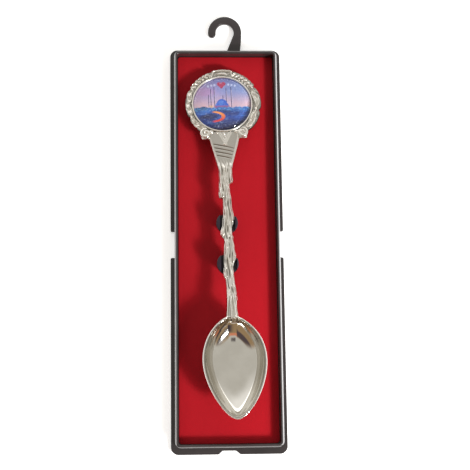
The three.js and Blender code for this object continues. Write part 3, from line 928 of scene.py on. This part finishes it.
def frame_edge(angle):
    """Outer radius of the frame by angle: an arch on top, scallops beside it and leaf tips below."""
    radius = 12.85 + 0.38 * np.cos(np.radians(angle))
    radius += 0.26 * smooth(np.abs(turn_gap(angle, ARCH_ANGLE)), 20.5, 12.0)
    for centre in bump_row(30, 71, 6) + bump_row(109, 150, 6):
        radius += 0.22 * ridge(turn_gap(angle, centre), 3.4)
    for centre in (29, 151, -11, 203):
        radius -= 0.38 * np.exp(-(turn_gap(angle, centre) / 2.2) ** 2)
    for centre, width in ((9, 17), (-31, 17), (177, 22), (222, 17)):
        radius += 0.22 * ridge(turn_gap(angle, centre), width)
    return radius - 0.5 * smooth(np.abs(turn_gap(angle, 270)), 38, 28)


def leaf(angle, radius, start, end, middle, half, rise, veins, lean):
    """Leaf that lies along the band, with slanted veins and a grooved midrib."""
    t = np.clip((angle - start) / (end - start), 0, 1)
    body = np.sin(math.pi * t) ** 0.55
    offset = (radius - middle - 0.25 * np.sin(TAU * t)) / (half * body + 1e-6)
    dome = np.sqrt(np.clip(1 - offset ** 2, 0, None))
    ribs = 0.5 + 0.5 * np.cos(TAU * (veins * t + lean * np.abs(offset)))
    border = ridge(np.abs(offset) - 0.80, 0.24)
    inside = dome * (0.30 + 0.45 * ribs) + 0.25 * ridge(offset, 0.16)
    return rise * body ** 0.3 * np.maximum(border, inside)


def dot(angle, radius, centre_angle, centre_radius, size, rise):
    across = np.radians(turn_gap(angle, centre_angle)) * centre_radius
    return rise * ridge(np.hypot(across, radius - centre_radius), size)


def petal(angle, radius, centre_angle, centre_radius, length, width, slant, rise):
    """Oval leaf with a crease, turned from the radial direction by `slant` degrees."""
    across = np.radians(turn_gap(angle, centre_angle)) * centre_radius
    out = radius - centre_radius
    cosine, sine = math.cos(math.radians(slant)), math.sin(math.radians(slant))
    u = (out * cosine - across * sine) / length
    v = (out * sine + across * cosine) / width
    return rise * (ridge(np.hypot(u, v), 1.0) - 0.35 * np.exp(-(v / 0.25) ** 2) * (np.abs(u) < 0.7))


def frame_height(angle, radius, edge):
    """Height of the frame's face over its crest plane, in millimetres."""
    share = np.clip((radius - BAND_START) / (edge - BAND_START), 0, 1)
    inner_bead = 0.30 * ridge(radius - 10.18, 0.32) - 0.12
    channel = -0.62 + 0.35 * smooth(share, 0.0, 0.15) - 0.2 * smooth(share, 0.86, 1.0)
    ground = np.where(radius < BAND_START, inner_bead, channel)
    turned = np.where(angle > 269, angle - 360, angle)
    ornament = np.full_like(ground, -1.0)

    def add(height):
        np.maximum(ornament, height - 0.30, out=ornament)

    # Cartouche on top: a bold border with a small crest inside
    arch = np.abs(turn_gap(angle, ARCH_ANGLE))
    add(0.62 * ridge(radius - (edge - 0.42), 0.36) * smooth(arch, 17.5, 15.5))
    add(0.5 * ridge(arch - 16.5 + 3 * (radius - 11.6), 1.5) * smooth(radius, edge - 0.1, edge - 0.5))
    add(0.52 * ridge((arch / 9.5) ** 2 + ((radius - 11.5) / 0.42) ** 2, 1.0) * (arch < 9.5))
    # Crumpled leaves beside it: a long petal, a short one and a dot, six times on each side
    for low, high in ((30, 71), (109, 150)):
        for k, centre in enumerate(bump_row(low, high, 6)):
            lean = 1 if centre < 90 else -1
            add(petal(angle, radius, centre, 11.95, 0.95, 0.45, 38 * lean, 0.62))
            add(petal(angle, radius, centre + 2.6 * lean, 11.2, 0.55, 0.30, -30 * lean, 0.50))
            add(dot(angle, radius, centre - 3.1 * lean, 12.35 - 0.15 * (k % 2), 0.30, 0.50))
    # Long leaves down both sides and under them
    add(leaf(turned, radius, -9, 29, 11.75, 1.05, 0.66, 2.5, 0.4))
    add(leaf(turned, radius, -50, -12, 11.7, 1.1, 0.70, 8.0, 1.1))
    add(leaf(turned, radius, 152, 178, 11.6, 0.95, 0.66, 2.0, 0.6))
    add(leaf(turned, radius, 174, 203, 11.65, 1.0, 0.62, 2.5, 0.5))
    add(leaf(turned, radius, 204, 243, 11.6, 1.05, 0.66, 3.5, 0.9))
    knobs = ((-10.5, 11.6, 0.55), (203.5, 11.7, 0.5), (151, 11.9, 0.5), (29.5, 12.0, 0.5))
    for centre, middle, size in knobs:
        add(dot(angle, radius, centre, middle, size, 0.72))
    # Small leaves either side of the neck, below the picture
    for side in (-1, 1):
        centre = 270 + side * 22
        add(dot(angle, radius, centre, 11.2, 0.7, 0.5))
        add(dot(angle, radius, 270 + side * 12, 11.0, 0.45, 0.42))
    add(dot(angle, radius, 270, 11.1, 0.55, 0.5))
    ornament = np.where(radius < BAND_START + 0.08, -1.0, ornament)
    edge_drop = 0.5 * smooth(radius, edge - 0.16, edge) ** 2
    worn = 0.045 * wave_noise(np.radians(angle) * 60, radius * 5, 11)
    return np.maximum(ground, ornament) - edge_drop + worn * (radius > BAND_START)


def make_frame(material):
    """Polar skin: recess floor, inner bead, ornamented band, outer wall and back."""
    angles = np.linspace(0, 360, 1080, endpoint=False)
    edge = frame_edge(angles)
    shares = np.linspace(0, 1, 44)
    inner = np.array([0.0, 3.0, 6.5, RECESS_RADIUS - 0.02])
    columns = [(np.full_like(angles, max(r, 0.02)), np.full_like(angles, RECESS_FLOOR)) for r in inner]
    columns.append((np.full_like(angles, RECESS_RADIUS), np.full_like(angles, -0.25)))
    for share in shares:
        radius = RECESS_RADIUS + (edge - RECESS_RADIUS) * share
        columns.append((radius, frame_height(angles, radius, edge)))
    relief_columns = len(columns)
    columns.append((edge, np.full_like(angles, -1.25)))
    columns.append((edge - 0.12, np.full_like(angles, FRAME_BACK + 0.25)))
    columns.append((edge - 0.42, np.full_like(angles, FRAME_BACK)))
    for r in (11.3, 11.1, 6.0, 0.02):
        lift = 0.12 if r < 11.2 else 0.0
        columns.append((np.full_like(angles, r), np.full_like(angles, FRAME_BACK + lift)))
    cosine, sine = np.cos(np.radians(angles)), np.sin(np.radians(angles))
    rings = [np.column_stack([r * cosine, r * sine, z]) for r, z in columns]
    points, faces = loft(rings)
    piece = make_piece("spoon_medallion_frame", points, faces, material, HEAD_PLACE, 60)
    relief = np.full(len(points), 0.5)
    count = len(angles)
    # Painted shade: the relief's low ground is painted darker and its high ornament brighter.
    for index in range(relief_columns):
        z = columns[index][1]
        relief[index * count:(index + 1) * count] = np.clip(0.72 + 1.6 * z, 0, 1)
    store(piece, "relief", relief)
    store(piece, "polish", np.full(len(points), 0.35))
    return place_on(piece, "spoon", "spoon_metal")


def scroll_points(centre, start, turns, radius, direction):
    """Flat spiral that tightens towards its eye."""
    points = []
    for t in np.linspace(0, 1, 26):
        angle = math.radians(start) + direction * turns * TAU * t
        reach = radius * (1 - 0.78 * t)
        x, y = centre[0] + reach * math.cos(angle), centre[1] + reach * math.sin(angle)
        points.append((x, y, 0.12 + 0.25 * t))
    return np.array(points)


def tube(route, radii, sides=12):
    """Closed tube along a route, with round-ish ends and a radius at each point."""
    ahead = np.gradient(route, axis=0)
    ahead /= np.linalg.norm(ahead, axis=1)[:, None]
    side = np.cross(ahead, (0, 0, 1))
    side /= np.linalg.norm(side, axis=1)[:, None]
    up = np.cross(side, ahead)
    sections = []
    for index, (point, radius) in enumerate(zip(route, radii)):
        ring = []
        for turn in np.linspace(0, TAU, sides, endpoint=False):
            ring.append(point + radius * (math.cos(turn) * side[index] + math.sin(turn) * up[index]))
        sections.append(np.array(ring))
    return loft(sections)


# Section of the pad under a scroll: radius and height, from its back over its edge to its middle
EAR_PAD = (
    (0.02, -1.7), (1.7, -1.7), (1.95, -1.4), (2.0, -0.6),
    (1.75, -0.2), (1.2, 0.0), (0.5, 0.28), (0.02, 0.36),
)


def make_ears(material):
    """Curled scroll at each side of the neck, on a small round pad."""
    for name, centre, start, direction in (("left", (-6.1, -11.0), 75, 1), ("right", (6.4, -10.9), 105, -1)):
        route = scroll_points(centre, start, 1.35, 1.75, direction)
        radii = np.concatenate([[0.12, 0.3], np.linspace(0.5, 0.42, 22), [0.3, 0.1]])
        points, faces = tube(route, radii)
        scroll = make_piece("spoon_scroll_" + name, points, faces, material, HEAD_PLACE, 60)
        angles = np.linspace(0, TAU, 48, endpoint=False)
        rings = []
        for r, z in EAR_PAD:
            wobble = r * (1 + 0.05 * np.sin(5 * angles))
            x, y = centre[0] + wobble * np.cos(angles), centre[1] + wobble * np.sin(angles)
            rings.append(np.column_stack([x, y, np.full_like(angles, z)]))
        pad_points, pad_faces = loft(rings)
        pad = make_piece("pad_tool", pad_points, pad_faces, material, HEAD_PLACE, 60)
        bpy.context.view_layer.update()
        join_solid(scroll, pad)
        # Painted shade: the scroll's lower parts are painted darker and its raised curl brighter.
        store(scroll, "relief", [0.45 + 0.5 * smooth(v.co.z / MM, 0.0, 0.5) for v in scroll.data.vertices])
        store(scroll, "polish", [0.35] * len(scroll.data.vertices))
        place_on(scroll, "spoon", "spoon_metal")


# ---- picture and resin

PRINT_RADIUS = 9.74
PRINT_BASE = RECESS_FLOOR + 0.05
PRINT_FACE = PRINT_BASE + 0.2
# The resin is poured round the print, so its base lies a little below the print's face
DOME_RADIUS = PRINT_RADIUS + 0.05
DOME_BASE = PRINT_FACE - 0.12
DOME_RISE = 1.65
DOME_EDGE = 0.65
DOME_FLATNESS = 14


def turned_solid(name, profile, material, steps=180):
    """Solid of revolution in the head's plane from (radius, height) pairs."""
    angles = np.linspace(0, TAU, steps, endpoint=False)
    rings = []
    for r, z in profile:
        rings.append(np.column_stack([r * np.cos(angles), r * np.sin(angles), np.full_like(angles, z)]))
    points, faces = loft(rings)
    return make_piece(name, points, faces, material, HEAD_PLACE, 50)


def make_picture(ink, resin):
    edge = 0.05
    flat = [(0.02, PRINT_BASE), (PRINT_RADIUS - edge, PRINT_BASE), (PRINT_RADIUS, PRINT_BASE + edge)]
    flat += [(PRINT_RADIUS, PRINT_FACE - edge), (PRINT_RADIUS - edge, PRINT_FACE)]
    flat += [(5, PRINT_FACE), (0.02, PRINT_FACE)]
    picture = turned_solid("picture_disc", flat, ink)
    place_on(picture, "spoon", "picture_ink", "picture_print")
    lens = [(0.02, DOME_BASE), (DOME_RADIUS - 0.03, DOME_BASE), (DOME_RADIUS, DOME_BASE + 0.1)]
    for t in np.linspace(0, 1, 60):
        r = max(0.02, DOME_RADIUS * math.cos(t * math.pi / 2))
        fall = (r / DOME_RADIUS) ** DOME_FLATNESS
        lens.append((r, DOME_BASE + DOME_EDGE + (DOME_RISE - DOME_EDGE) * (1 - fall)))
    dome = turned_solid("resin_lens", lens, resin)
    place_on(dome, "spoon", "clear_resin", "resin_dome")


# ---- camera, light and floor

def add_camera():
    data = bpy.data.cameras.new("camera")
    data.sensor_width = 36
    data.lens = 84.26
    data.clip_start = 0.01
    camera = bpy.data.objects.new("camera", data)
    camera.location = Vector((-14.0, -67.6, 368.6)) * MM
    camera.rotation_euler = Euler([math.radians(a) for a in (10.94, -2.46, -0.75)], "XYZ")
    bpy.context.scene.collection.objects.link(camera)
    bpy.context.scene.camera = camera


def area_light(name, location, size, energy, colour=(1, 1, 1)):
    data = bpy.data.lights.new(name, "AREA")
    data.shape = "RECTANGLE"
    data.size, data.size_y = size
    data.energy = energy
    data.color = colour
    light = bpy.data.objects.new(name, data)
    light.location = location
    light.rotation_euler = (-Vector(location)).to_track_quat("-Z", "Y").to_euler()
    bpy.context.scene.collection.objects.link(light)
    return light


def studio_sky():
    """Soft studio round the object: pale above, white at the horizon, a darker corner towards the viewer."""
    world = bpy.data.worlds.new("studio")
    world.use_nodes = True
    tree = world.node_tree
    coords = tree.nodes.new("ShaderNodeTexCoord")
    split = tree.nodes.new("ShaderNodeSeparateXYZ")
    tree.links.new(coords.outputs["Generated"], split.inputs[0])
    x, y, z = (Field(tree, output) for output in split.outputs)

    def patch(amount, below, colour):
        return mix_colours(tree, amount, below, colour)

    sky = patch(z.ramp(0.30, 0.05), (0.61, 0.59, 0.545), (1.3, 1.29, 1.26))
    sky = patch((y - x * 0.15).ramp(0.25, 0.85) * 0.9, sky, (1.15, 1.14, 1.12))
    sky = patch(y.ramp(0.35, 0.6) * z.ramp(0.34, 0.2), sky, (2.4, 2.38, 2.3))
    # Towards the viewer: brown and dark shapes of a room, a pink streak over them and a small dark spot
    front = y.ramp(-0.26, -0.46)
    room = front * z.ramp(0.86, 0.80) * z.ramp(0.1, 0.2)
    right_shape = front * x.ramp(0.02, 0.16) * z.ramp(0.76, 0.66) * z.ramp(0.30, 0.42)
    left_shape = front * x.ramp(-0.20, -0.36) * z.ramp(0.86, 0.78) * z.ramp(0.50, 0.60)
    streak = front * x.ramp(0.34, 0.20) * x.ramp(-0.34, -0.20) * z.ramp(0.86, 0.82) * z.ramp(0.74, 0.78)
    spot = (x - 0.03).abs().ramp(0.12, 0.03) * (y + 0.36).abs().ramp(0.12, 0.03)
    sky = patch(room * 0.85, sky, (0.34, 0.20, 0.07))
    sky = patch(right_shape * 0.95, sky, (0.045, 0.04, 0.065))
    sky = patch(left_shape * 0.9, sky, (0.07, 0.055, 0.075))
    sky = patch(streak, sky, (0.75, 0.28, 0.16))
    sky = patch(spot * 0.85, sky, (0.05, 0.03, 0.04))
    background = tree.nodes["Background"]
    tree.links.new(sky, background.inputs["Color"])
    background.inputs["Strength"].default_value = 1.0
    bpy.context.scene.world = world


def add_studio():
    """Sky, a broad lamp for soft shadows, a small lamp in front of it for highlights, and a white floor."""
    studio_sky()
    key = area_light("key", (0.70, -0.66, 0.66), (0.40, 0.40), 13.0, (1.0, 0.98, 0.95))
    key.visible_glossy = False
    area_light("spark", (0.665, -0.627, 0.627), (0.13, 0.13), 10.0)
    material = Material("floor_white", Roughness=0.9, Emission_Strength=0.5)
    material.shader.inputs["Emission Color"].default_value = (1, 1, 1, 1)
    material.colour(material.mix(material.noise(0.02, 2), (0.86, 0.86, 0.86), (0.88, 0.88, 0.88)))
    side, level = 900, -0.3
    corners = [(-side, -side, level), (side, -side, level), (side, side, level), (-side, side, level)]
    floor = make_piece("floor", corners, [(0, 1, 2, 3)], material.material)
    view = bpy.context.scene.view_settings
    view.view_transform = "Standard"
    view.look = "None"


add_camera()
add_studio()
cast = cast_metal()
polished = polished_metal()
clip_black = clip_plastic()
make_tray(tray_plastic())
make_card(red_flock())
make_clip("clip_upper", -2.55, 2.5, 6.9, clip_black)
make_clip("clip_lower", -2.35, 2.9, 7.55, clip_black)
make_shank(cast, polished)
make_frame(cast)
make_ears(cast)
make_picture(picture_ink(), clear_resin())
